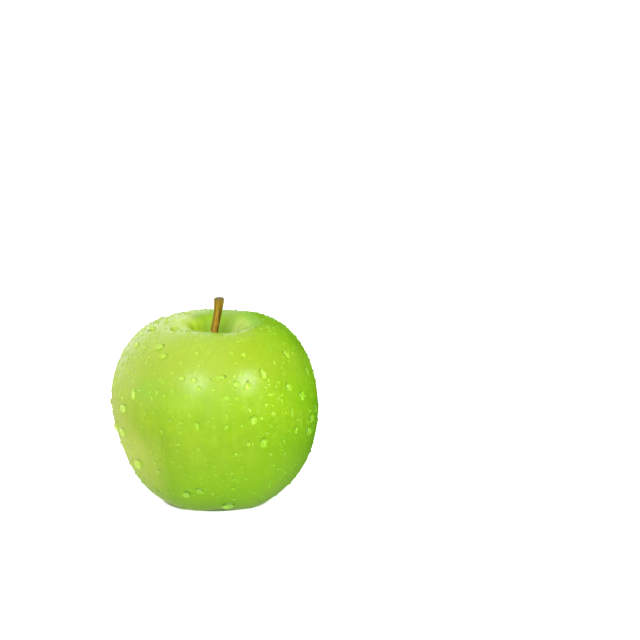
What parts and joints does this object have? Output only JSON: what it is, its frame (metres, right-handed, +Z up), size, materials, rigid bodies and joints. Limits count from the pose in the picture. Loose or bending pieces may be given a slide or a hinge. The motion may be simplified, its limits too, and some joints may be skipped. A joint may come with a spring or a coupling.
{
  "type": "green apple",
  "caption": "Whole fresh green apple with a woody stem, a deep stem cavity and the dried flower in its basin.",
  "frame": {"origin": "on the ground, under the middle of the whole's width and depth", "axes": "+Z up from the calyx basin to the stem, -Y towards the front"},
  "size_m": [0.0776, 0.076, 0.0772],
  "materials": {
    "skin": "waxy bright green skin",
    "stalk": "olive brown bark",
    "dry_sepal": "dried brown leaf",
    "dry_flower": "dried dark threads"
  },
  "bodies": {
    "root": {"fruit": "skin", "stem": "stalk", "sepal_1": "dry_sepal", "sepal_2": "dry_sepal", "sepal_3": "dry_sepal", "sepal_4": "dry_sepal", "sepal_5": "dry_sepal", "stamens": "dry_flower", "styles": "dry_flower"}
  },
  "joints": []
}
